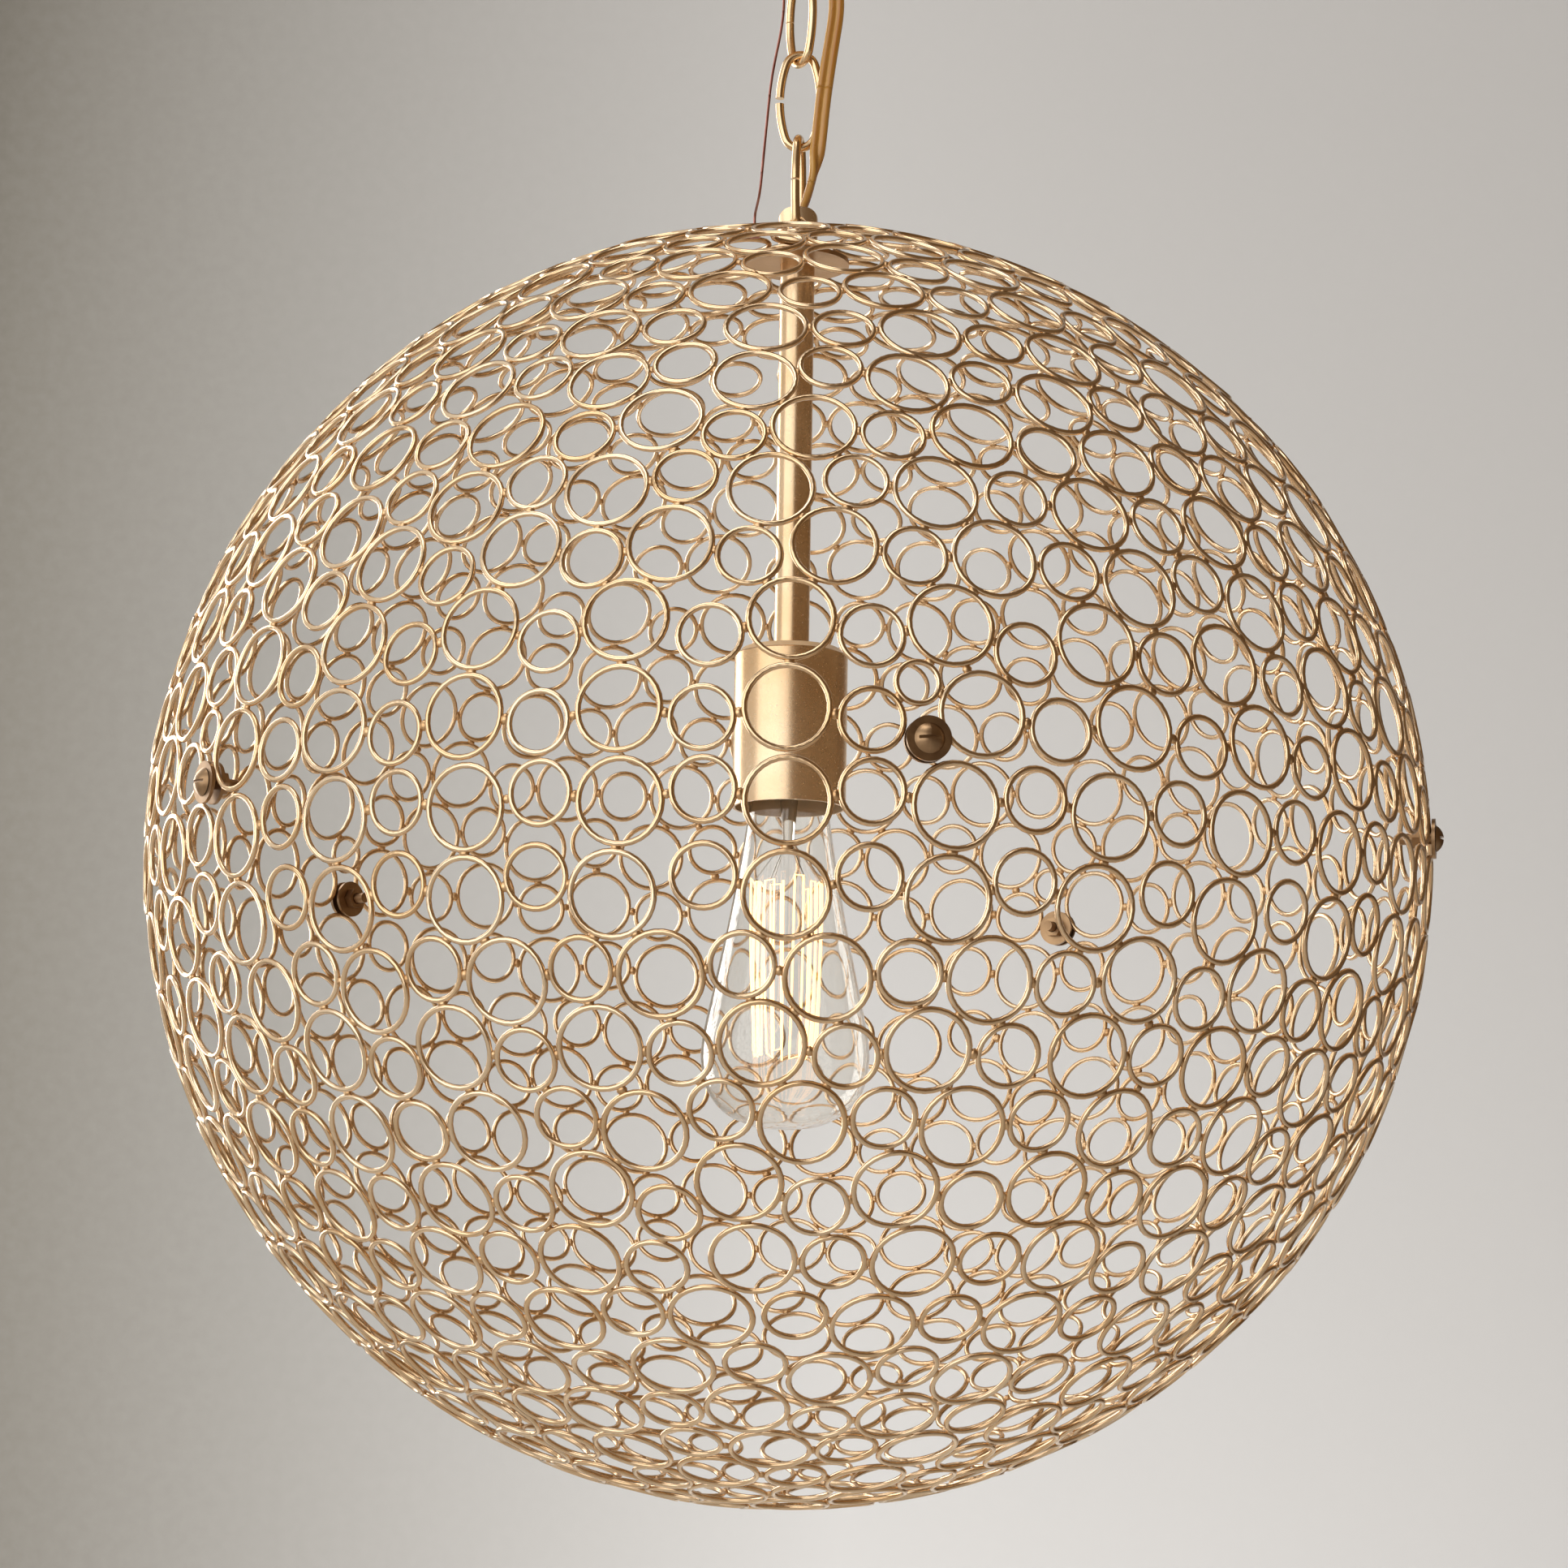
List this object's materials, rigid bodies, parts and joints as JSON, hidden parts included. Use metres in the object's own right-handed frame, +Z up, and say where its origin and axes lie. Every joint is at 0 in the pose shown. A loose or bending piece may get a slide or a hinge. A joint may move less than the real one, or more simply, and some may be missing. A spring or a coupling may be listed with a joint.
{
  "type": "orb pendant light",
  "caption": "Open orb pendant of welded wire rings in two screwed halves, hung by a short chain from a round ceiling canopy, with a clear filament bulb inside.",
  "frame": {"origin": "centre of the crossbar's slot pattern, on the ceiling plane above the orb's centre", "axes": "+Z up; +X to the viewer's right; the viewer of the picture is on the -Y side"},
  "size_m": [0.4568, 0.4571, 0.6056],
  "materials": {
    "gold_finish": "satin",
    "dark_bronze": "satin",
    "zinc_steel": "satin",
    "holder_plastic": "matte",
    "contact_brass": "satin",
    "clear_glass": "gloss",
    "filament_wire": "matte",
    "cord_jacket": "gloss",
    "bare_copper": "satin"
  },
  "bodies": {
    "ceiling_mount": {"crossbar": "zinc_steel", "drop_nipple": "zinc_steel", "drop_locknut": "zinc_steel", "canopy": "gold_finish", "collar_ring": "gold_finish", "canopy_loop": "gold_finish", "cord_1": "cord_jacket", "ground_wire_1": "bare_copper"},
    "link_3": {"chain_link_3": "gold_finish", "cord_2": "cord_jacket", "ground_wire_2": "bare_copper"},
    "link_2": {"chain_link_2": "gold_finish", "cord_3": "cord_jacket", "ground_wire_3": "bare_copper"},
    "link_1": {"chain_link_1": "gold_finish", "cord_4": "cord_jacket", "ground_wire_4": "bare_copper"},
    "lamp": {"loop_cap": "gold_finish", "check_plate": "gold_finish", "cap_nipple": "zinc_steel", "stem": "gold_finish", "cup_nipple": "zinc_steel", "cup_locknut": "zinc_steel", "socket_cup": "gold_finish", "lampholder": "holder_plastic", "screw_shell": "contact_brass", "centre_contact": "contact_brass", "upper_band_1": "gold_finish", "upper_band_2": "gold_finish", "upper_band_3": "gold_finish", "upper_band_4": "gold_finish", "upper_band_5": "gold_finish", "upper_band_6": "gold_finish", "upper_band_7": "gold_finish", "upper_pole_ring": "gold_finish", "upper_weld_beads": "gold_finish", "upper_mini_rings": "gold_finish", "seam_screws": "dark_bronze", "outer_washers": "dark_bronze", "inner_washers": "dark_bronze", "seam_nuts": "dark_bronze", "ground_lug": "bare_copper"},
    "bulb_carrier": {"bulb_tip": "contact_brass"},
    "bulb": {"bulb_base": "contact_brass", "bulb_glass": "clear_glass", "bulb_mount": "clear_glass", "filament": "filament_wire", "filament_arms": "filament_wire"},
    "lower_cage": {"lower_band_1": "gold_finish", "lower_band_2": "gold_finish", "lower_band_3": "gold_finish", "lower_band_4": "gold_finish", "lower_band_5": "gold_finish", "lower_band_6": "gold_finish", "lower_band_7": "gold_finish", "lower_pole_ring": "gold_finish", "lower_weld_beads": "gold_finish"}
  },
  "joints": [
    {"name": "link_3_swing", "type": "hinge", "parent": "ceiling_mount", "child": "link_3", "pos_m": [0, 0, -0.04425], "axis": [0.829, 0.5592, 0], "range_deg": [-22, 22], "deforming": ["cord_1", "ground_wire_1"]},
    {"name": "link_2_swing", "type": "hinge", "parent": "link_3", "child": "link_2", "pos_m": [0, 0, -0.07615], "axis": [0.5592, -0.829, 0], "range_deg": [-22, 22], "deforming": ["cord_2", "ground_wire_2"]},
    {"name": "link_1_swing", "type": "hinge", "parent": "link_2", "child": "link_1", "pos_m": [0, 0, -0.1088], "axis": [1, 0, 0], "range_deg": [-22, 22], "deforming": ["cord_3", "ground_wire_3"]},
    {"name": "lamp_swing", "type": "hinge", "parent": "link_1", "child": "lamp", "pos_m": [0, 0, -0.14145], "axis": [0.1668, 0.986, 0], "range_deg": [-22, 22], "deforming": ["cord_4", "ground_wire_4"]},
    {"name": "bulb_unscrew", "type": "slide", "parent": "lamp", "child": "bulb_carrier", "axis": [0, 0, -1], "range_m": [0, 0.025]},
    {"name": "bulb_turn", "type": "hinge", "parent": "bulb_carrier", "child": "bulb", "pos_m": [0, 0, -0.37755], "axis": [0, 0, 1], "range_deg": [-2485, 0]},
    {"name": "lower_cage_removal", "type": "slide", "parent": "lamp", "child": "lower_cage", "axis": [0, 0, -1], "range_m": [0, 0.12]}
  ],
  "couplings": [
    {"joint": "bulb_turn", "follows": "bulb_unscrew", "rad_per_m": -1731.4}
  ]
}
